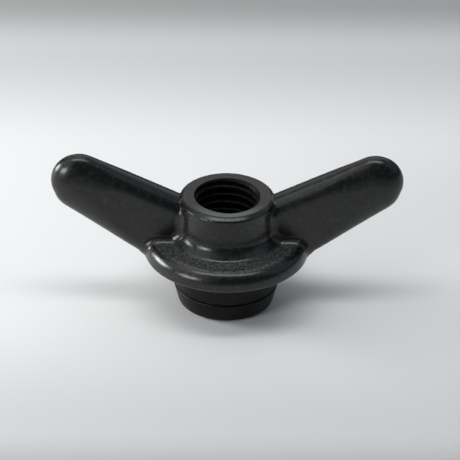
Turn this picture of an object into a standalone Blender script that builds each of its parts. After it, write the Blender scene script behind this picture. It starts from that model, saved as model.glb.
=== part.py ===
"""Wing nut, M16 x 2: a moulded body with two wings, a threaded insert and a swivelling foot ring.

Units are metres and +Z is up. The origin is the centre of the foot ring's underside, the thread's axis
is Z, and the wings lie along X.
"""

import math

import bmesh
import bpy

MM = 0.001

# Thread: ISO metric coarse, right-hand
THREAD_R = 8.0 * MM                      # root of the internal thread
PITCH = 2.0 * MM
CREST_R = THREAD_R - 0.5413 * PITCH      # crest of the internal thread
FLANK = 0.3125 * PITCH                   # axial length of one flank
ROOT_FLAT = 0.125 * PITCH
THREAD_STEPS = 32                        # facets in one turn
MOUTH_R = THREAD_R                       # countersink at each end of the thread
THREAD_START = 0.55 * PITCH              # lifts the helix: a crest lies just under the top face at the back

# Levels from the foot's underside
FOOT_TOP_Z = 5.0 * MM
COLLAR_UNDER_Z = 12.7 * MM
HUB_TOP_Z = 27.6 * MM

# Radii of the moulded body
HUB_R = 10.9 * MM
RIM_IN = 1.0 * MM                        # bevel round the hub's top: how far in and how far down
RIM_DROP = 0.65 * MM
FLARE_LEAN = 45                          # degrees: the flare between the hub's side and the collar's land
FLARE_ROUND = 3.0 * MM
FLARE_START_Z = 20.6 * MM
LAND_R = 12.9 * MM                       # inner edge of the land, which runs out nearly level to the rim
COLLAR_R = 18.85 * MM
RIM_BULGE = 2.95 * MM                    # radius of the rim's section
RIM_MID_Z = 14.38 * MM                   # level of the rim's widest circle
RIM_START = 80                           # degrees above level where the rim's section starts
COLLAR_LIP = 0.7 * MM                    # rounding of the collar's lower edge
NECK_TOP_R = 12.3 * MM
NECK_R = 11.75 * MM                      # at the foot
NECK_FILLET = 0.8 * MM

# Wings: the outline runs round two close circles at the tip and is tangent to a round root inside the hub
TIP_UPPER_X = 33.96 * MM
TIP_UPPER_Z = 31.68 * MM
TIP_LOWER_X = 33.46 * MM
TIP_LOWER_Z = 30.38 * MM
WING_END_R = 6.37 * MM
ROOT_X = 7.4 * MM
ROOT_UPPER_Z = 18.8 * MM
ROOT_LOWER_Z = 12.4 * MM
WING_HALF = 3.6 * MM                     # half thickness
WING_EDGE = 3.4 * MM                     # rounding of the wing's edges, almost a full round
WING_INNER_X = 4.0 * MM                  # buried end of the wing

# Insert and foot
GAP = 0.25 * MM                          # clearance between neighbouring pieces
INSERT_R = 9.2 * MM
BAND_R = 9.65 * MM                       # many-sided band that keeps the insert from turning
BAND_SIDES = 12
BAND_LOW_Z = 15.0 * MM
BAND_HIGH_Z = 23.0 * MM
SPIGOT_R = 9.0 * MM
SPIGOT_END_Z = 1.5 * MM
FOOT_TOP_R = 12.0 * MM                   # where the foot's side and top would meet without the shoulder
FOOT_BASE_R = 10.65 * MM
FOOT_SHOULDER = 0.35 * MM                # rounding of the foot's upper edge
FOOT_EDGE = 1.2 * MM                     # rounding of the foot's lower edge
FOOT_LIP_R = 8.3 * MM                    # clears the bolt under the spigot
FOOT_LIP_Z = SPIGOT_END_Z - GAP
RING_Z = 3.0 * MM
RING_WIRE_R = 0.42 * MM
RING_MID_R = 9.2 * MM
RING_OPENING = math.radians(40)
GROOVE_HALF = RING_WIRE_R + 0.2 * MM
SPIGOT_GROOVE_R = RING_MID_R - GROOVE_HALF
FOOT_GROOVE_R = RING_MID_R + GROOVE_HALF

ROUND_STEPS = 48
PAST = 2.0 * MM                          # how far a cutter runs past what it cuts


def collection(name):
    made = bpy.data.collections.new(name)
    bpy.context.scene.collection.children.link(made)
    return made


def material(name, colour, roughness, metallic):
    made = bpy.data.materials.new(name)
    made.use_nodes = True
    shader = made.node_tree.nodes["Principled BSDF"]
    shader.inputs["Base Color"].default_value = (*colour, 1.0)
    shader.inputs["Roughness"].default_value = roughness
    shader.inputs["Metallic"].default_value = metallic
    return made


def arc(x, z, radius, start, end, steps):
    """Points on an arc in the XZ plane, its angles in degrees from +X towards +Z."""
    angles = [math.radians(start + (end - start) * i / steps) for i in range(steps + 1)]
    return [(x + radius * math.cos(a), z + radius * math.sin(a)) for a in angles]


def new_object(name, mesh, home):
    made = bpy.data.objects.new(name, mesh)
    home.objects.link(made)
    return made


def turned(name, home, outline, closed):
    """A solid of revolution: the outline runs down its outer side, and closes up its bore if it has one."""
    mesh = bpy.data.meshes.new(name)
    edges = [(i, i + 1) for i in range(len(outline) - 1)]
    if closed:
        edges.append((len(outline) - 1, 0))
    mesh.from_pydata([(x, 0.0, z) for x, z in outline], edges, [])
    made = new_object(name, mesh, home)
    screw = made.modifiers.new("turn", "SCREW")
    screw.axis = "Z"
    screw.steps = ROUND_STEPS
    screw.render_steps = ROUND_STEPS
    screw.use_merge_vertices = True
    screw.merge_threshold = 0.000001
    return made


def boolean(target, cutter, operation):
    cut = target.modifiers.new(cutter.name, "BOOLEAN")
    cut.operation = operation
    cut.solver = "EXACT"
    cut.object = cutter
    cutter.hide_render = True
    cutter.display_type = "WIRE"


def wing_outline():
    """The right wing's outline in the XZ plane, from its buried lower corner round the tip."""
    upper = math.degrees(math.atan2(TIP_UPPER_Z - ROOT_UPPER_Z, TIP_UPPER_X - ROOT_X))
    lower = math.degrees(math.atan2(TIP_LOWER_Z - ROOT_LOWER_Z, TIP_LOWER_X - ROOT_X))
    side = math.degrees(math.atan2(TIP_LOWER_X - TIP_UPPER_X, TIP_UPPER_Z - TIP_LOWER_Z))
    tip = arc(TIP_LOWER_X, TIP_LOWER_Z, WING_END_R, lower - 90, side, 6)
    tip += arc(TIP_UPPER_X, TIP_UPPER_Z, WING_END_R, side, upper + 90, 9)
    slope = math.tan(math.radians(lower))
    low_z = COLLAR_UNDER_Z + COLLAR_LIP
    low_x = tip[0][0] - (tip[0][1] - low_z) / slope
    high_z = tip[-1][1] - (tip[-1][0] - WING_INNER_X) * math.tan(math.radians(upper))
    return [(WING_INNER_X, low_z), (low_x, low_z), *tip, (WING_INNER_X, high_z)]


def wing(name, home, side):
    """A flat plate in the XZ plane with rounded edges; side is 1 for +X and -1 for -X."""
    mesh = bpy.data.meshes.new(name)
    bm = bmesh.new()
    corners = [bm.verts.new((side * x, -WING_HALF, z)) for x, z in wing_outline()]
    face = bm.faces.new(corners)
    grown = bmesh.ops.extrude_face_region(bm, geom=[face])
    top = [v for v in grown["geom"] if isinstance(v, bmesh.types.BMVert)]
    bmesh.ops.translate(bm, verts=top, vec=(0.0, 2 * WING_HALF, 0.0))
    buried = WING_INNER_X * 1.001
    rims = [
        e for e in bm.edges
        if abs(e.verts[0].co.y - e.verts[1].co.y) < WING_HALF
        and max(abs(v.co.x) for v in e.verts) > buried
    ]
    bmesh.ops.bevel(
        bm, geom=rims, offset=WING_EDGE, segments=4, profile=0.5, affect="EDGES", clamp_overlap=True,
    )
    bmesh.ops.recalc_face_normals(bm, faces=bm.faces)
    bm.to_mesh(mesh)
    bm.free()
    return new_object(name, mesh, home)


def thread_tap(name, home):
    """The helical plug that leaves the internal thread when it is cut away."""
    turns = math.ceil((HUB_TOP_Z - SPIGOT_END_Z) / PITCH) + 2
    start_z = HUB_TOP_Z + THREAD_START - (turns - 1) * PITCH
    tooth = [
        (CREST_R, PITCH),
        (THREAD_R, PITCH - FLANK),
        (THREAD_R, PITCH - FLANK - ROOT_FLAT),
        (CREST_R, PITCH - 2 * FLANK - ROOT_FLAT),
        (CREST_R, 0.0),
    ]
    bm = bmesh.new()
    verts = [bm.verts.new((r, 0.0, start_z + z)) for r, z in tooth]
    edges = [bm.edges.new(pair) for pair in zip(verts, verts[1:])]
    bmesh.ops.spin(
        bm, geom=verts + edges, cent=(0, 0, 0), axis=(0, 0, 1), dvec=(0, 0, PITCH / THREAD_STEPS),
        angle=2 * math.pi * turns, steps=THREAD_STEPS * turns, use_duplicate=False,
    )
    bmesh.ops.remove_doubles(bm, verts=bm.verts, dist=0.000001)
    middle = start_z + turns * PITCH / 2
    rim = [e for e in bm.edges if e.is_boundary]
    for above in (False, True):
        end = [e for e in rim if (sum(v.co.z for v in e.verts) / 2 > middle) == above]
        tip_z = start_z + (turns + 1) * PITCH if above else start_z
        tip = bm.verts.new((0.0, 0.0, tip_z))
        for e in end:
            bm.faces.new((*e.verts, tip))
    bmesh.ops.recalc_face_normals(bm, faces=bm.faces)
    mesh = bpy.data.meshes.new(name)
    bm.to_mesh(mesh)
    bm.free()
    return new_object(name, mesh, home)


def prism(name, home, radius, sides, low_z, high_z):
    mesh = bpy.data.meshes.new(name)
    bm = bmesh.new()
    bmesh.ops.create_cone(
        bm, cap_ends=True, segments=sides, radius1=radius, radius2=radius, depth=high_z - low_z,
    )
    bm.to_mesh(mesh)
    bm.free()
    made = new_object(name, mesh, home)
    made.location.z = (low_z + high_z) / 2
    return made


def mouth(name, home, face_z, up):
    """The countersink at one end of the thread."""
    depth = MOUTH_R - CREST_R
    slant = [(MOUTH_R + PAST, face_z + up * PAST), (CREST_R, face_z - up * depth)]
    ends = [(0.0, face_z + up * PAST), *slant, (0.0, face_z - up * depth)]
    return turned(name, home, ends if up > 0 else ends[::-1], closed=False)


def smooth(item):
    mesh = item.data
    mesh.shade_smooth()
    mesh.set_sharp_from_angle(angle=math.radians(35))


def make_body(home, cutters, finish):
    lip = arc(COLLAR_R - COLLAR_LIP, COLLAR_UNDER_Z + COLLAR_LIP, COLLAR_LIP, 0, -90, 3)
    flare = arc(HUB_R + FLARE_ROUND, FLARE_START_Z, FLARE_ROUND, 180, 180 + FLARE_LEAN, 4)
    land_z = flare[-1][1] - (LAND_R - flare[-1][0]) / math.tan(math.radians(FLARE_LEAN))
    outline = [
        (0.0, HUB_TOP_Z),
        (HUB_R - RIM_IN, HUB_TOP_Z),
        (HUB_R, HUB_TOP_Z - RIM_DROP),
        *flare,
        (LAND_R, land_z),
        *arc(COLLAR_R - RIM_BULGE, RIM_MID_Z, RIM_BULGE, RIM_START, 0, 6),
        *lip,
        *arc(NECK_TOP_R + NECK_FILLET, COLLAR_UNDER_Z - NECK_FILLET, NECK_FILLET, 90, 180, 3),
        (NECK_R, FOOT_TOP_Z + GAP),
        (0.0, FOOT_TOP_Z + GAP),
    ]
    body = turned("wing_body", home, outline, closed=False)
    for name, side in (("right_wing", 1), ("left_wing", -1)):
        boolean(body, wing(name, cutters, side), "UNION")
    pocket_r = INSERT_R + GAP
    pocket = [(0.0, HUB_TOP_Z + PAST), (pocket_r, HUB_TOP_Z + PAST), (pocket_r, 0.0), (0.0, 0.0)]
    boolean(body, turned("insert_pocket", cutters, pocket, closed=False), "DIFFERENCE")
    band = prism("band_pocket", cutters, BAND_R + GAP, BAND_SIDES, BAND_LOW_Z - GAP, BAND_HIGH_Z + GAP)
    boolean(body, band, "DIFFERENCE")
    body.data.materials.append(finish)
    return body


def make_insert(home, cutters, finish):
    shoulder_z = FOOT_TOP_Z + GAP
    outline = [
        (0.0, HUB_TOP_Z),
        (INSERT_R, HUB_TOP_Z),
        (INSERT_R, shoulder_z),
        (SPIGOT_R, shoulder_z),
        (SPIGOT_R, RING_Z + GROOVE_HALF),
        (SPIGOT_GROOVE_R, RING_Z + GROOVE_HALF),
        (SPIGOT_GROOVE_R, RING_Z - GROOVE_HALF),
        (SPIGOT_R, RING_Z - GROOVE_HALF),
        (SPIGOT_R, SPIGOT_END_Z),
        (0.0, SPIGOT_END_Z),
    ]
    insert = turned("threaded_insert", home, outline, closed=False)
    band = prism("insert_band", cutters, BAND_R, BAND_SIDES, BAND_LOW_Z, BAND_HIGH_Z)
    boolean(insert, band, "UNION")
    boolean(insert, thread_tap("thread_tap", cutters), "DIFFERENCE")
    boolean(insert, mouth("upper_mouth", cutters, HUB_TOP_Z, 1), "DIFFERENCE")
    boolean(insert, mouth("lower_mouth", cutters, SPIGOT_END_Z, -1), "DIFFERENCE")
    insert.data.materials.append(finish)
    return insert


def make_foot(home, finish):
    bore_r = SPIGOT_R + GAP
    slant = math.atan2(FOOT_TOP_R - FOOT_BASE_R, FOOT_TOP_Z)
    lean = math.degrees(slant)
    shoulder_r = FOOT_TOP_R - FOOT_SHOULDER * (1 + math.sin(slant)) / math.cos(slant)
    outline = [
        *arc(shoulder_r, FOOT_TOP_Z - FOOT_SHOULDER, FOOT_SHOULDER, 90, -lean, 4),
        *arc(FOOT_BASE_R - FOOT_EDGE, FOOT_EDGE, FOOT_EDGE, -lean, -90, 4),
        (FOOT_LIP_R, 0.0),
        (FOOT_LIP_R, FOOT_LIP_Z),
        (bore_r, FOOT_LIP_Z),
        (bore_r, RING_Z - GROOVE_HALF),
        (FOOT_GROOVE_R, RING_Z - GROOVE_HALF),
        (FOOT_GROOVE_R, RING_Z + GROOVE_HALF),
        (bore_r, RING_Z + GROOVE_HALF),
        (bore_r, FOOT_TOP_Z),
    ]
    foot = turned("foot_ring", home, outline, closed=True)
    foot.data.materials.append(finish)
    return foot


def make_snap_ring(home, finish):
    """An open wire ring, half in the spigot's groove and half in the foot's."""
    curve = bpy.data.curves.new("snap_ring", "CURVE")
    curve.dimensions = "3D"
    curve.bevel_depth = RING_WIRE_R
    curve.bevel_resolution = 2
    curve.use_fill_caps = True
    start, end = RING_OPENING / 2, 2 * math.pi - RING_OPENING / 2
    spline = curve.splines.new("POLY")
    spline.points.add(ROUND_STEPS)
    for i, point in enumerate(spline.points):
        a = start + (end - start) * i / ROUND_STEPS
        point.co = (RING_MID_R * math.cos(a), RING_MID_R * math.sin(a), RING_Z, 1.0)
    ring = new_object("snap_ring", curve, home)
    curve.materials.append(finish)
    return ring


def main():
    for item in list(bpy.data.objects):
        bpy.data.objects.remove(item)
    home = collection("wing_nut")
    cutters = collection("cutters")
    moulded = material("black_moulding", (0.018, 0.019, 0.018), 0.42, 0.0)
    blackened = material("blackened_steel", (0.015, 0.015, 0.016), 0.5, 0.6)
    foot_finish = material("black_foot", (0.016, 0.017, 0.016), 0.48, 0.0)
    spring = material("spring_steel", (0.30, 0.30, 0.31), 0.35, 1.0)
    smooth(make_body(home, cutters, moulded))
    smooth(make_insert(home, cutters, blackened))
    smooth(make_foot(home, foot_finish))
    make_snap_ring(home, spring)


main()
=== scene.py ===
"""The wing nut's looks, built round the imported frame: moulded body, threaded insert, foot ring, snap ring.

The moulded body is meshed from a distance field, so that its wings, hub and collar run into each other in
true fillets. The turned pieces are grids of angle by outline. Sizes come from the frame's boxes where the
frame has them, and the rest are named below, in metres.
"""

import math

import bpy
import numpy as np
from mathutils import Matrix, Vector


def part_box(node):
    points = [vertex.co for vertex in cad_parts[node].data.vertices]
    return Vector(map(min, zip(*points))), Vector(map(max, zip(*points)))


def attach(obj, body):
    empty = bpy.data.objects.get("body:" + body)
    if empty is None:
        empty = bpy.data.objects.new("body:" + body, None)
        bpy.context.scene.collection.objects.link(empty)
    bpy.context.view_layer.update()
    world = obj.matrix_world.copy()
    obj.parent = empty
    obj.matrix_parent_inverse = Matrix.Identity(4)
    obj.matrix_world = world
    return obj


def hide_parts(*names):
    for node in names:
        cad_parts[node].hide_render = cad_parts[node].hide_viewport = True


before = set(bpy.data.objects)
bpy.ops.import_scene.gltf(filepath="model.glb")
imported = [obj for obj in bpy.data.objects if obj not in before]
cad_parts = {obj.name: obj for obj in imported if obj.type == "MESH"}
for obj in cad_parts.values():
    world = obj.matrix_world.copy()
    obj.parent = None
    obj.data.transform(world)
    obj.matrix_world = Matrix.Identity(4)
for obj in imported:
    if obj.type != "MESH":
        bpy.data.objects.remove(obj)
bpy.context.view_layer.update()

MM = 0.001

# ---------------------------------------------------------------- sizes taken from the frame
BODY_LOW, BODY_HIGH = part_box("wing_body")
INSERT_LOW, INSERT_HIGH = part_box("threaded_insert")
FOOT_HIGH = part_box("foot_ring")[1]
RING_LOW, RING_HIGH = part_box("snap_ring")
COLLAR_R = BODY_HIGH.y
NECK_END_Z = BODY_LOW.z
HUB_TOP_Z = INSERT_HIGH.z
SPIGOT_END_Z = INSERT_LOW.z
FOOT_TOP_Z = FOOT_HIGH.z
TIP_R = 6.37 * MM
TIP_X = BODY_HIGH.x - TIP_R
TIP_Z = BODY_HIGH.z - TIP_R

# ---------------------------------------------------------------- the moulding
HUB_R = 10.9 * MM
RIM_IN = 1.0 * MM                  # bevel round the hub's top: how far in and how far down
RIM_DROP = 0.65 * MM
RIM_IN_ROUND = 0.5 * MM            # rounding of the bevel's inner and outer edges
RIM_OUT_ROUND = 0.4 * MM
FLARE_Z = 19.36 * MM               # where the hub's side would meet the flare under it
FLARE_ROUND = 3.0 * MM
LAND_IN_R = 12.9 * MM              # the flare ends on the collar's land, which runs out nearly level
LAND_IN_Z = 17.36 * MM
LAND_ROUND = 1.5 * MM
RIM_MID_Z = 14.38 * MM             # level of the collar's widest circle
RIM_BULGE = 2.95 * MM              # radius of the collar rim's section
RIM_START = 80                     # degrees above level where the rim's arc starts
COLLAR_UNDER_Z = 12.7 * MM
COLLAR_LIP = 0.7 * MM
NECK_TOP_R = 12.3 * MM
NECK_R = 11.75 * MM                # at the foot
NECK_FILLET = 0.8 * MM
NECK_LIP = 0.3 * MM
NECK_DROP = 0.24 * MM              # the moulding's neck closes most of the frame's gap above the foot
POCKET_R = 9.25 * MM               # bore of the moulding round the insert
FLUSH = 0.03 * MM                  # the insert's flange stands this far above the moulding

# ---------------------------------------------------------------- the wings
ROOT_X = 7.4 * MM
ROOT_UPPER_Z = 18.8 * MM
ROOT_LOWER_Z = 12.4 * MM
LOWER_IN = 0.5 * MM                # the lower edge is struck from a second centre, in and down from the tip's
LOWER_DROP = 1.3 * MM
WING_LOW_Z = COLLAR_UNDER_Z + 0.4 * MM
WING_HALF = 3.6 * MM               # half thickness
WING_EDGE = 3.5 * MM
TIP_REACH = 6.2 * MM               # the tip's rounding runs in to the middle, so that the end is a dome
DOME_START_X = 22.0 * MM
WING_FILLET = 1.7 * MM             # where a wing grows out of the hub and the collar
TOP_FILLET = 0.2 * MM              # the same corner near the hub's faced top, where it is nearly sharp
FADE_TOP = 0.6 * MM                # depths below the hub's top between which one fillet becomes the other
FADE_END = 4.0 * MM
RIM_CLEAR_IN = 0.25 * MM           # the wings stay out of the hub's faced top and its bevel
RIM_CLEAR_DOWN = 1.5 * RIM_DROP

# ---------------------------------------------------------------- the meshing
CELL = 0.3 * MM                    # grid of the distance field
SECTION_STEP = 0.06 * MM           # grid of the turned section's own distances
SECTION_REACH = 1.4                # how far the section's grid goes, in tip distances
SNAP = 0.55 * CELL
BODY_CREASE = 50                   # degrees between faces that shade as a sharp edge
TURNED_CREASE = 35
TURNED_STEPS = 180

# ---------------------------------------------------------------- the thread
THREAD_R = 8.0 * MM
PITCH = 2.0 * MM
THREAD_CREST_R = THREAD_R - 0.5413 * PITCH
FLANK = 0.3125 * PITCH
ROOT_FLAT = 0.125 * PITCH
THREAD_PHASE = 0.2                 # turns the helix, so that a crest lies just under the top at the back
MOUTH_R = 7.6 * MM
INSERT_R = 9.2 * MM
FLANGE_R = 9.6 * MM                # thin top flange, which covers the seam between insert and moulding
SPIGOT_R = 9.0 * MM
SMALL_EDGE = 0.15 * MM
BORE_STEP = 0.1 * MM
BORE_MARGIN = 1.001                # the outline's points within this many crest radii belong to the bore

# ---------------------------------------------------------------- foot and snap ring
FOOT_TOP_R = 12.0 * MM             # where the foot's side and top would meet without the shoulder
FOOT_BASE_R = 10.65 * MM
FOOT_EDGE = 1.5 * MM
FOOT_SHOULDER = 0.35 * MM
FOOT_LIP_R = 8.3 * MM
FOOT_LIP_Z = 1.25 * MM
FOOT_BORE_R = 9.25 * MM
GROOVE_R = 9.82 * MM
SPIGOT_GROOVE_R = 8.58 * MM
RING_Z = (RING_LOW.z + RING_HIGH.z) / 2
GROOVE_LOW_Z = RING_Z - 0.62 * MM
GROOVE_HIGH_Z = RING_Z + 0.62 * MM

# ---------------------------------------------------------------- finish
GRAIN_DEPTH = 0.03 * MM
MARK_DEPTH = 0.05 * MM
HIGHLIGHT_FROM = -4.0 * MM              # along Y, where the painted highlight on the hub's face begins and where it is full
HIGHLIGHT_TO = -9.0 * MM
DUST_OUT_R = COLLAR_R - 1.8 * MM   # the dust lies on the collar's land, from LAND_IN_R to here
DUST_LOW_Z = 16.8 * MM
DUST_HIGH_Z = 18.0 * MM

# ---------------------------------------------------------------- view
FIELD = 105.8 * MM                 # width of the view at the object
SENSOR = 36
CAMERA_DISTANCE = 2.6
CAMERA_AZIMUTH = math.radians(-0.76)
CAMERA_ELEVATION = math.radians(31.43)
CAMERA_ROLL = math.radians(0.8)
AIM_RIGHT = 0.775 * MM
AIM_UP = 15.63 * MM
FLOOR_HALF = 3.0
LIGHT_POOL_FRONT = -0.085               # along Y, where the floor's painted pool of light begins and ends
LIGHT_POOL_BACK = 0.135


# ================================================================ outlines
def arc(x, z, radius, start, end, steps):
    """Points on an arc, its angles in degrees from the first axis towards the second."""
    turn = np.radians(np.linspace(start, end, steps + 1))
    return list(zip(x + radius * np.cos(turn), z + radius * np.sin(turn)))


def rounded(points, radii, steps=6):
    """A closed outline with each corner rounded by its own radius; zero leaves it sharp."""
    result = []
    count = len(points)
    for i, (corner, radius) in enumerate(zip(points, radii)):
        corner = np.array(corner)
        if radius == 0:
            result.append(tuple(corner))
            continue
        before = np.array(points[i - 1]) - corner
        after = np.array(points[(i + 1) % count]) - corner
        before /= np.linalg.norm(before)
        after /= np.linalg.norm(after)
        half = math.acos(np.clip(before @ after, -1, 1)) / 2
        start = corner + before * radius / math.tan(half)
        end = corner + after * radius / math.tan(half)
        middle = corner + (before + after) / np.linalg.norm(before + after) * radius / math.sin(half)
        for k in range(steps + 1):
            share = k / steps
            chord = start * (1 - share) + end * share - middle
            result.append(tuple(middle + chord / np.linalg.norm(chord) * radius))
    return result


def body_outline():
    """Half section of the hub, collar and neck, down the outer side and back along the axis."""
    bulge = arc(COLLAR_R - RIM_BULGE, RIM_MID_Z, RIM_BULGE, RIM_START, 0, 24)
    top = HUB_TOP_Z - FLUSH
    corners = [
        ((0.0, top), 0),
        ((HUB_R - RIM_IN, top), RIM_IN_ROUND),
        ((HUB_R, top - RIM_DROP), RIM_OUT_ROUND),
        ((HUB_R, FLARE_Z), FLARE_ROUND),
        ((LAND_IN_R, LAND_IN_Z), LAND_ROUND),
        *[(point, 0) for point in bulge],
        ((COLLAR_R, COLLAR_UNDER_Z), COLLAR_LIP),
        ((NECK_TOP_R, COLLAR_UNDER_Z), NECK_FILLET),
        ((NECK_R, NECK_END_Z - NECK_DROP), NECK_LIP),
        ((0.0, NECK_END_Z - NECK_DROP), 0),
    ]
    return rounded(*zip(*corners))


# ================================================================ distance fields
def outline_distance(x, z, outline):
    """Signed distance from points to a closed outline, negative inside."""
    x, z = np.broadcast_arrays(x, z)
    nearest = np.full(x.shape, 1.0)
    inside = np.zeros(x.shape, bool)
    for (ax, az), (bx, bz) in zip(outline, outline[1:] + outline[:1]):
        ex, ez = bx - ax, bz - az
        length = ex * ex + ez * ez
        if length == 0:
            continue
        along = np.clip(((x - ax) * ex + (z - az) * ez) / length, 0, 1)
        nearest = np.minimum(nearest, (x - ax - along * ex) ** 2 + (z - az - along * ez) ** 2)
        crosses = (az > z) != (bz > z)
        if ez != 0:
            inside ^= crosses & (x < ax + (z - az) / ez * ex)
    return np.where(inside, -1, 1) * np.sqrt(nearest)


def blend_fillet(a, b, radius):
    """The union of two fields with a round fillet between them."""
    reach = np.hypot(np.maximum(radius - a, 0), np.maximum(radius - b, 0))
    return np.maximum(radius, np.minimum(a, b)) - reach


def rounded_plate(flat, depth, half, edge, reach):
    """A plate, half thick each way, from its outline's distance; its rounding reaches in from the rim."""
    across, through = (flat + reach) * edge / reach, depth - half + edge
    outside = np.hypot(np.maximum(across, 0), np.maximum(through, 0))
    return np.minimum(np.maximum(across, through), 0) + outside - edge


def table_lookup(table, origin, step, x, z):
    """Bilinear value of a table at points."""
    u = np.clip((x - origin[0]) / step, 0, table.shape[0] - 1.001)
    v = np.clip((z - origin[1]) / step, 0, table.shape[1] - 1.001)
    i, j = u.astype(int), v.astype(int)
    s, t = u - i, v - j
    low = table[i, j] * (1 - s) + table[i + 1, j] * s
    high = table[i, j + 1] * (1 - s) + table[i + 1, j + 1] * s
    return low * (1 - t) + high * t


BODY_OUTLINE = body_outline()
WING_CORE = [
    (TIP_X, TIP_Z),
    (ROOT_X, ROOT_UPPER_Z),
    (ROOT_X, ROOT_LOWER_Z),
    (TIP_X - LOWER_IN, TIP_Z - LOWER_DROP),
]


def eased(share):
    """0 to 1 with soft ends, held at them outside."""
    share = np.clip(share, 0, 1)
    return share * share * (3 - 2 * share)


def body_field(x, y, z, turned_distance):
    """The moulded body's distance field; turned_distance gives the hub and collar's own."""
    radius = np.hypot(x, y)
    turned = turned_distance(radius, z)
    flat = outline_distance(np.abs(x), z, WING_CORE) - TIP_R
    flat = np.maximum(flat, WING_LOW_Z - z)
    outward = eased((np.abs(x) - DOME_START_X) / (TIP_X - DOME_START_X))
    reach = WING_EDGE + (TIP_REACH - WING_EDGE) * outward
    wings = rounded_plate(flat, np.abs(y), WING_HALF, WING_EDGE, reach)
    fade = eased((HUB_TOP_Z - FADE_TOP - z) / (FADE_END - FADE_TOP))
    solid = blend_fillet(turned, wings, TOP_FILLET + (WING_FILLET - TOP_FILLET) * fade)
    over_hub = np.maximum(radius - HUB_R + RIM_CLEAR_IN, HUB_TOP_Z - RIM_CLEAR_DOWN - z)
    solid = np.maximum(solid, -np.maximum(over_hub, -turned))
    return np.maximum(solid, POCKET_R - radius)


def exact_body(points):
    x, y, z = points.T
    return body_field(x, y, z, lambda r, h: outline_distance(r, h, BODY_OUTLINE))


def body_grid():
    """The field on a grid a little larger than the body."""
    margin = 3 * CELL
    low = np.array(BODY_LOW) - margin
    counts = [int(n) for n in np.ceil((np.array(BODY_HIGH) - low + margin) / CELL) + 1]
    axes = [low[i] + CELL * np.arange(counts[i]) for i in range(3)]
    step = SECTION_STEP
    origin = (0.0, low[2])
    rows = int(TIP_X * SECTION_REACH / step)
    columns = int((axes[2][-1] - low[2]) / step) + 3
    r, h = np.meshgrid(step * np.arange(rows), low[2] + step * np.arange(columns), indexing="ij")
    table = outline_distance(r, h, BODY_OUTLINE)
    x, y, z = np.meshgrid(*axes, indexing="ij", sparse=True)

    def turned(radius, height):
        radius, height = np.broadcast_arrays(radius, height)
        return table_lookup(table, origin, step, radius, height)

    return body_field(x, y, z, turned), low


# ================================================================ meshing
def surface_net(field, low, cell):
    """Vertices and quads of the zero surface: one vertex in each cell that the surface crosses."""
    inside = field < 0
    size = np.array(field.shape) - 1
    corners = [(i, j, k) for i in (0, 1) for j in (0, 1) for k in (0, 1)]

    def shifted(values, corner):
        i, j, k = corner
        return values[i:i + size[0], j:j + size[1], k:k + size[2]]

    count = sum(shifted(inside, c).astype(np.int8) for c in corners)
    cells = np.argwhere((count > 0) & (count < 8))
    index = np.full(size, -1)
    index[tuple(cells.T)] = np.arange(len(cells))
    total, hits = np.zeros((len(cells), 3)), np.zeros(len(cells))
    for a in corners:
        for axis in range(3):
            if a[axis]:
                continue
            b = tuple(a[n] + (n == axis) for n in range(3))
            fa = field[tuple((cells + a).T)]
            fb = field[tuple((cells + b).T)]
            crosses = (fa < 0) != (fb < 0)
            share = np.where(crosses, fa / np.where(crosses, fa - fb, 1), 0)
            point = np.array(a, float)[None, :] + share[:, None] * np.eye(3)[axis]
            total += point * crosses[:, None]
            hits += crosses
    verts = low + cell * (cells + total / hits[:, None])
    quads = []
    for axis in range(3):
        one, two = [(1, 2), (2, 0), (0, 1)][axis]
        step = np.eye(3, dtype=int)
        first = inside[tuple(slice(0, n) for n in (size + 1) - step[axis])]
        second = inside[tuple(slice(step[axis][n], None) for n in range(3))]
        for start_inside in (True, False):
            edges = np.argwhere((first == start_inside) & (second != start_inside))
            ring = [np.zeros(3, int), -step[one], -step[one] - step[two], -step[two]]
            faces = np.stack([index[tuple((edges + r).T)] for r in ring], 1)
            quads.append(faces if start_inside else faces[:, ::-1])
    return verts, np.concatenate(quads)


def project(points, field):
    """Moves points onto the field's zero surface along its slope, in four small steps."""
    small, furthest, least_steep = 0.01 * MM, 0.3 * CELL, 0.25
    for _ in range(4):
        rises = [field(points + small * axis) - field(points - small * axis) for axis in np.eye(3)]
        slope = np.stack(rises, 1) / (2 * small)
        steep = np.maximum((slope ** 2).sum(1), least_steep)
        move = field(points)[:, None] * slope / steep[:, None]
        points = points - np.clip(move, -furthest, furthest)
    return points


def new_piece(name, verts, faces, crease):
    mesh = bpy.data.meshes.new(name)
    mesh.from_pydata([tuple(v) for v in verts], [], [tuple(f) for f in faces])
    mesh.shade_smooth()
    mesh.set_sharp_from_angle(angle=math.radians(crease))
    piece = bpy.data.objects.new(name, mesh)
    bpy.context.scene.collection.objects.link(piece)
    return piece


def snap_to_circle(points, radius, height):
    """Moves the points nearest to a sharp circular edge exactly onto it."""
    r = np.hypot(points[:, 0], points[:, 1])
    near = np.hypot(r - radius, points[:, 2] - height) < SNAP
    points[near, :2] *= (radius / r[near])[:, None]
    points[near, 2] = height


def moulded_body():
    """Its second finish, the foot's darker and duller one, is laid on the neck as painted shade under the
    collar.
    """
    field, low = body_grid()
    verts, quads = surface_net(field, low, CELL)
    verts = project(verts, exact_body)
    snap_to_circle(verts, POCKET_R, HUB_TOP_Z - FLUSH)
    body = new_piece("moulded_body", verts, quads, BODY_CREASE)
    # painted shade: faces under the collar take the darker, duller foot finish
    for face in body.data.polygons:
        face.material_index = 1 if face.center.z < COLLAR_UNDER_Z - CELL / 3 else 0
    return body


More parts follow.
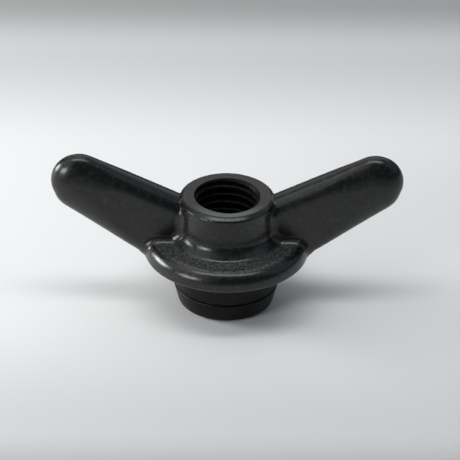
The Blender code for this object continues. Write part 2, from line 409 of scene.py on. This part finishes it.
def turned_piece(name, outline, radius_at=None):
    """A closed turned ring; radius_at(angle, radii, heights) may change each angle's radii.

    The outline runs up the outer side and closes down the bore.
    """
    steps = TURNED_STEPS
    radii, heights = np.array(outline).T
    count = len(outline)
    verts = []
    for k in range(steps):
        turn = 2 * math.pi * k / steps
        r = radii if radius_at is None else radius_at(turn, radii, heights)
        verts.append(np.stack([r * math.cos(turn), r * math.sin(turn), heights], 1))
    faces = [
        (a * count + i, b * count + i, b * count + (i + 1) % count, a * count + (i + 1) % count)
        for a, b in ((k, (k + 1) % steps) for k in range(steps))
        for i in range(count)
    ]
    return new_piece(name, np.concatenate(verts), faces, TURNED_CREASE)


def thread_radius(phase):
    """The internal thread's radius at a place in its pitch, from 0 to 1."""
    corners = [0, FLANK, FLANK + ROOT_FLAT, 2 * FLANK + ROOT_FLAT, PITCH]
    values = [THREAD_CREST_R, THREAD_R, THREAD_R, THREAD_CREST_R, THREAD_CREST_R]
    return np.interp(phase * PITCH, corners, values)


def threaded_insert():
    """Its first finish is for the faced top; its second, darker and duller, for the rest, as painted shade
    down the bore.
    """
    corners = [
        ((FLANGE_R, HUB_TOP_Z), 0),
        ((FLANGE_R, HUB_TOP_Z - FLUSH / 2), 0),
        ((INSERT_R, HUB_TOP_Z - FLUSH / 2), 0),
        ((INSERT_R, NECK_END_Z), 0),
        ((SPIGOT_R, NECK_END_Z), 0),
        ((SPIGOT_R, GROOVE_HIGH_Z), 0),
        ((SPIGOT_GROOVE_R, GROOVE_HIGH_Z), 0),
        ((SPIGOT_GROOVE_R, GROOVE_LOW_Z), 0),
        ((SPIGOT_R, GROOVE_LOW_Z), 0),
        ((SPIGOT_R, SPIGOT_END_Z), SMALL_EDGE),
        ((THREAD_CREST_R, SPIGOT_END_Z), 0),
        ((THREAD_CREST_R, HUB_TOP_Z), 0),
    ]
    outer = rounded(*zip(*corners), steps=2)
    rows = int((HUB_TOP_Z - SPIGOT_END_Z) / BORE_STEP)
    bore = [(THREAD_CREST_R, z) for z in np.linspace(SPIGOT_END_Z, HUB_TOP_Z, rows + 1)[1:-1]]
    outline = outer[:-1] + bore + outer[-1:]

    def radius_at(turn, radii, heights):
        cut = thread_radius(((heights - HUB_TOP_Z) / PITCH - turn / (2 * math.pi) + THREAD_PHASE) % 1.0)
        top = MOUTH_R - (HUB_TOP_Z - heights)
        bottom = MOUTH_R - (heights - SPIGOT_END_Z)
        bored = np.maximum.reduce([cut, top, bottom])
        return np.where(radii < THREAD_CREST_R * BORE_MARGIN, bored, radii)

    bush = turned_piece("thread_bush", outline[::-1], radius_at)
    # painted shade: all but the faced top take the darker bore finish
    for face in bush.data.polygons:
        on_top = face.normal.z > 0.9 and face.center.z > HUB_TOP_Z - FLUSH / 4
        face.material_index = 0 if on_top else 1
    return bush


def foot_ring():
    corners = [
        ((FOOT_TOP_R, FOOT_TOP_Z), FOOT_SHOULDER),
        ((FOOT_BASE_R, 0.0), FOOT_EDGE),
        ((FOOT_LIP_R, 0.0), SMALL_EDGE),
        ((FOOT_LIP_R, FOOT_LIP_Z), SMALL_EDGE),
        ((FOOT_BORE_R, FOOT_LIP_Z), 0),
        ((FOOT_BORE_R, GROOVE_LOW_Z), 0),
        ((GROOVE_R, GROOVE_LOW_Z), 0),
        ((GROOVE_R, GROOVE_HIGH_Z), 0),
        ((FOOT_BORE_R, GROOVE_HIGH_Z), 0),
        ((FOOT_BORE_R, FOOT_TOP_Z), SMALL_EDGE),
    ]
    outline = rounded(*zip(*corners))
    return turned_piece("swivel_foot", outline[::-1])


# ================================================================ materials
def tree_of(name):
    material = bpy.data.materials.new(name)
    material.use_nodes = True
    nodes = material.node_tree.nodes
    return material, nodes, material.node_tree.links, nodes["Principled BSDF"]


def object_place(nodes):
    return nodes.new("ShaderNodeTexCoord").outputs["Object"]


def noise(nodes, links, scale, detail):
    texture = nodes.new("ShaderNodeTexNoise")
    texture.inputs["Scale"].default_value = scale
    texture.inputs["Detail"].default_value = detail
    texture.inputs["Roughness"].default_value = 0.55
    links.new(object_place(nodes), texture.inputs["Vector"])
    return texture.outputs["Fac"]


def ramp(nodes, links, source, stops, smooth="LINEAR"):
    made = nodes.new("ShaderNodeValToRGB")
    made.color_ramp.interpolation = smooth
    made.color_ramp.elements[0].position = stops[0][0]
    made.color_ramp.elements[0].color = (*stops[0][1], 1)
    made.color_ramp.elements[1].position = stops[-1][0]
    made.color_ramp.elements[1].color = (*stops[-1][1], 1)
    for position, colour in stops[1:-1]:
        made.color_ramp.elements.new(position).color = (*colour, 1)
    links.new(source, made.inputs["Fac"])
    return made.outputs["Color"]


def maths(nodes, links, operation, first, second):
    made = nodes.new("ShaderNodeMath")
    made.operation = operation
    for socket, value in zip(made.inputs, (first, second)):
        if isinstance(value, (int, float)):
            socket.default_value = value
        else:
            links.new(value, socket)
    return made.outputs["Value"]


def grey(value):
    return (value, value, value)


def bump(nodes, links, height, strength, distance, under=None):
    """A bumped normal, laid over another one if that is given."""
    made = nodes.new("ShaderNodeBump")
    made.inputs["Strength"].default_value = strength
    made.inputs["Distance"].default_value = distance
    links.new(height, made.inputs["Height"])
    if under:
        links.new(under, made.inputs["Normal"])
    return made.outputs["Normal"]


def along(nodes, links, axis):
    """The place along one of the object's axes."""
    split = nodes.new("ShaderNodeSeparateXYZ")
    links.new(object_place(nodes), split.inputs["Vector"])
    return split.outputs[axis]


def axis_radius(nodes, links):
    """The distance from the thread's axis."""
    square = [maths(nodes, links, "POWER", along(nodes, links, axis), 2.0) for axis in "XY"]
    return maths(nodes, links, "SQRT", maths(nodes, links, "ADD", *square), 0.0)


def span(nodes, links, value, start, end):
    """0 to 1 as the value goes from start to end."""
    made = nodes.new("ShaderNodeMapRange")
    made.inputs["From Min"].default_value = start
    made.inputs["From Max"].default_value = end
    links.new(value, made.inputs["Value"])
    return made.outputs["Result"]


def band(nodes, links, value, low, high, soft):
    """1 between low and high, with soft ends."""
    rise = span(nodes, links, value, low - soft, low + soft)
    fall = span(nodes, links, value, high + soft, high - soft)
    return maths(nodes, links, "MULTIPLY", rise, fall)


def turning_marks(nodes, links):
    """Fine rings round the axis."""
    rings = nodes.new("ShaderNodeTexNoise")
    rings.noise_dimensions = "1D"
    rings.inputs["Scale"].default_value = 2200
    rings.inputs["Detail"].default_value = 2
    links.new(axis_radius(nodes, links), rings.inputs["W"])
    return rings.outputs["Fac"]


def faced_top(name, dark, highlight_tone):
    """The hub's turned face, its tool marks painted bright towards the front as a highlight."""
    material, nodes, links, shader = tree_of(name)
    marks = turning_marks(nodes, links)
    # painted highlight: the tool marks' colour is lightened on the side towards the front
    front = span(nodes, links, along(nodes, links, "Y"), HIGHLIGHT_FROM, HIGHLIGHT_TO)
    streaks = ramp(nodes, links, marks, [(0.35, grey(0.25)), (0.65, grey(1.0))])
    painted_highlight = maths(nodes, links, "MULTIPLY", streaks, front)
    links.new(ramp(nodes, links, painted_highlight, [(0.0, dark), (1.0, highlight_tone)]), shader.inputs["Base Color"])
    shader.inputs["Roughness"].default_value = 0.36
    grain = bump(nodes, links, noise(nodes, links, 2600, 3), 0.35, GRAIN_DEPTH)
    links.new(bump(nodes, links, marks, 0.6, MARK_DEPTH, grain), shader.inputs["Normal"])
    return material


def dusted(nodes, links, tone, dust):
    """The tone with specks of dust over it on the collar's land."""
    land = band(nodes, links, axis_radius(nodes, links), LAND_IN_R, DUST_OUT_R, 0.5 * MM)
    level = band(nodes, links, along(nodes, links, "Z"), DUST_LOW_Z, DUST_HIGH_Z, 0.3 * MM)
    specks = ramp(nodes, links, noise(nodes, links, 1500, 3), [(0.38, grey(0.15)), (0.62, grey(1.0))])
    cover = maths(nodes, links, "MULTIPLY", maths(nodes, links, "MULTIPLY", land, level), specks)
    mixed = nodes.new("ShaderNodeMixRGB")
    links.new(cover, mixed.inputs["Fac"])
    links.new(tone, mixed.inputs["Color1"])
    mixed.inputs["Color2"].default_value = (*dust, 1)
    return mixed.outputs["Color"]


def moulded_finish(name, tones, roughness, grain, specular=0.5, dust=None):
    """A dark finish: its tones in soft mottles, a fine grain and a broken gloss; dust is a colour."""
    material, nodes, links, shader = tree_of(name)
    mottle = maths(nodes, links, "ADD", noise(nodes, links, 620, 3), noise(nodes, links, 1900, 3))
    mottle = maths(nodes, links, "MULTIPLY", mottle, 0.5)
    stops = [(0.40 + 0.2 * i / (len(tones) - 1), tone) for i, tone in enumerate(tones)]
    tone = ramp(nodes, links, mottle, stops)
    if dust:
        tone = dusted(nodes, links, tone, dust)
    links.new(tone, shader.inputs["Base Color"])
    gloss = [(0.3, grey(roughness - 0.05)), (0.7, grey(roughness + 0.07))]
    links.new(ramp(nodes, links, noise(nodes, links, 900, 4), gloss), shader.inputs["Roughness"])
    height = maths(nodes, links, "ADD", noise(nodes, links, 2600, 3), noise(nodes, links, 800, 2))
    links.new(bump(nodes, links, height, grain, GRAIN_DEPTH), shader.inputs["Normal"])
    shader.inputs["Specular IOR Level"].default_value = specular
    return material


def painted_light_floor():
    """Painted pool of light: palest round the object, greyer in front and behind."""
    material, nodes, links, shader = tree_of("pale_floor")
    # painted light: the floor's colour falls off in front and behind as a lamp's light would
    depth = span(nodes, links, along(nodes, links, "Y"), LIGHT_POOL_FRONT, LIGHT_POOL_BACK)
    stops = [
        (0.0, grey(0.34)), (0.13, grey(0.63)), (0.36, grey(0.80)),
        (0.68, grey(0.82)), (0.9, grey(0.60)), (1.0, grey(0.36)),
    ]
    links.new(ramp(nodes, links, depth, stops, "EASE"), shader.inputs["Base Color"])
    shader.inputs["Roughness"].default_value = 0.9
    shader.inputs["Specular IOR Level"].default_value = 0.1
    return material


# ================================================================ stage
def add_floor():
    half = FLOOR_HALF
    mesh = bpy.data.meshes.new("floor")
    corners = [(-half, -half, 0), (half, -half, 0), (half, half, 0), (-half, half, 0)]
    mesh.from_pydata(corners, [], [(0, 1, 2, 3)])
    mesh.materials.append(painted_light_floor())
    floor = bpy.data.objects.new("floor", mesh)
    bpy.context.scene.collection.objects.link(floor)


def add_camera():
    toward = Vector((
        math.sin(CAMERA_AZIMUTH) * math.cos(CAMERA_ELEVATION),
        -math.cos(CAMERA_AZIMUTH) * math.cos(CAMERA_ELEVATION),
        math.sin(CAMERA_ELEVATION),
    ))
    turn = toward.to_track_quat("Z", "Y").to_matrix()
    aim = turn @ Vector((AIM_RIGHT, AIM_UP, 0))
    data = bpy.data.cameras.new("camera")
    data.sensor_width = SENSOR
    data.lens = SENSOR * CAMERA_DISTANCE / FIELD
    data.clip_end = 20
    camera = bpy.data.objects.new("camera", data)
    rolled = turn @ Matrix.Rotation(CAMERA_ROLL, 3, "Z")
    camera.matrix_world = Matrix.Translation(aim + toward * CAMERA_DISTANCE) @ rolled.to_4x4()
    bpy.context.scene.collection.objects.link(camera)
    bpy.context.scene.camera = camera


def add_area(name, azimuth, elevation, distance, size, brightness, colour=(1, 1, 1)):
    """A soft panel that faces the hub; azimuth runs from the front towards the left, in degrees.

    Its size is width and height, and its brightness is its radiance.
    """
    turn, rise = math.radians(azimuth), math.radians(elevation)
    aim = Vector((0, 0, HUB_TOP_Z / 2))
    toward = Vector((-math.sin(turn) * math.cos(rise), -math.cos(turn) * math.cos(rise), math.sin(rise)))
    data = bpy.data.lights.new(name, "AREA")
    data.shape = "RECTANGLE"
    data.size, data.size_y = size
    data.energy = brightness * math.pi * size[0] * size[1]
    data.color = colour
    light = bpy.data.objects.new(name, data)
    light.location = aim + toward * distance
    light.rotation_euler = toward.to_track_quat("Z", "Y").to_euler()
    bpy.context.scene.collection.objects.link(light)


def add_lights():
    world = bpy.data.worlds.new("studio")
    world.use_nodes = True
    background = world.node_tree.nodes["Background"]
    background.inputs["Color"].default_value = (0.8, 0.92, 1.0, 1)
    background.inputs["Strength"].default_value = 0.1
    bpy.context.scene.world = world
    add_area("overhead", 0, 82, 0.7, (0.65, 0.14), 5.6)
    add_area("ceiling", 140, 74, 0.7, (0.75, 0.4), 0.9)
    add_area("high_left", 75, 46, 0.7, (0.85, 0.32), 0.8)
    add_area("window", 102, 14, 0.42, (0.19, 0.13), 18.0)
    add_area("window_side", 52, 15, 0.7, (0.26, 0.19), 12.0)
    add_area("back_wall", 180, 38, 0.9, (1.2, 0.6), 0.75)
    add_area("right_wall", -95, 35, 0.7, (0.8, 0.6), 0.35, (0.7, 0.86, 1.0))


def set_view():
    settings = bpy.context.scene.view_settings
    settings.view_transform = "Standard"
    settings.look = "None"


# ================================================================ assembly
def place(piece, body, node, slot, *finishes):
    """Gives a piece its finishes and puts it in the place of a node of the frame."""
    for finish in finishes:
        piece.data.materials.append(finish)
    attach(piece, body)
    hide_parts(node)


def main():
    black = [(0.007, 0.002, 0.0022), (0.006, 0.005, 0.004), (0.003, 0.007, 0.007), (0.012, 0.016, 0.0165)]
    # darker tones: the foot's own colour, and painted shade in the bore and on the neck
    jet_and_shade_tones = [(0.002, 0.0016, 0.0016), (0.004, 0.0045, 0.0045)]
    plastic = moulded_finish("black_moulding", black, roughness=0.25, grain=0.35, dust=(0.065, 0.07, 0.066))
    steel = faced_top("faced_steel", black[1], (0.125, 0.15, 0.15))
    # painted shade: a darker, duller finish for the insert's bore than for its faced top
    bore_shade_finish = moulded_finish("thread_painted_shade", jet_and_shade_tones, roughness=0.42, grain=0.2, specular=0.09)
    # the foot's own finish, also laid on the moulding's neck as painted shade under the collar
    foot_and_neck_shade = moulded_finish("black_foot", jet_and_shade_tones, roughness=0.36, grain=0.3, specular=0.17)
    bright = [(0.25, 0.25, 0.26), (0.35, 0.35, 0.36)]
    spring = moulded_finish("spring_steel", bright, roughness=0.3, grain=0.1)
    place(moulded_body(), "nut", "wing_body", "moulding", plastic, foot_and_neck_shade)
    place(threaded_insert(), "nut", "threaded_insert", "insert", steel, bore_shade_finish)
    place(foot_ring(), "foot", "foot_ring", "foot", foot_and_neck_shade)
    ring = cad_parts["snap_ring"]
    ring.data.materials.clear()
    ring.data.materials.append(spring)
    add_floor()
    add_camera()
    add_lights()
    set_view()


main()
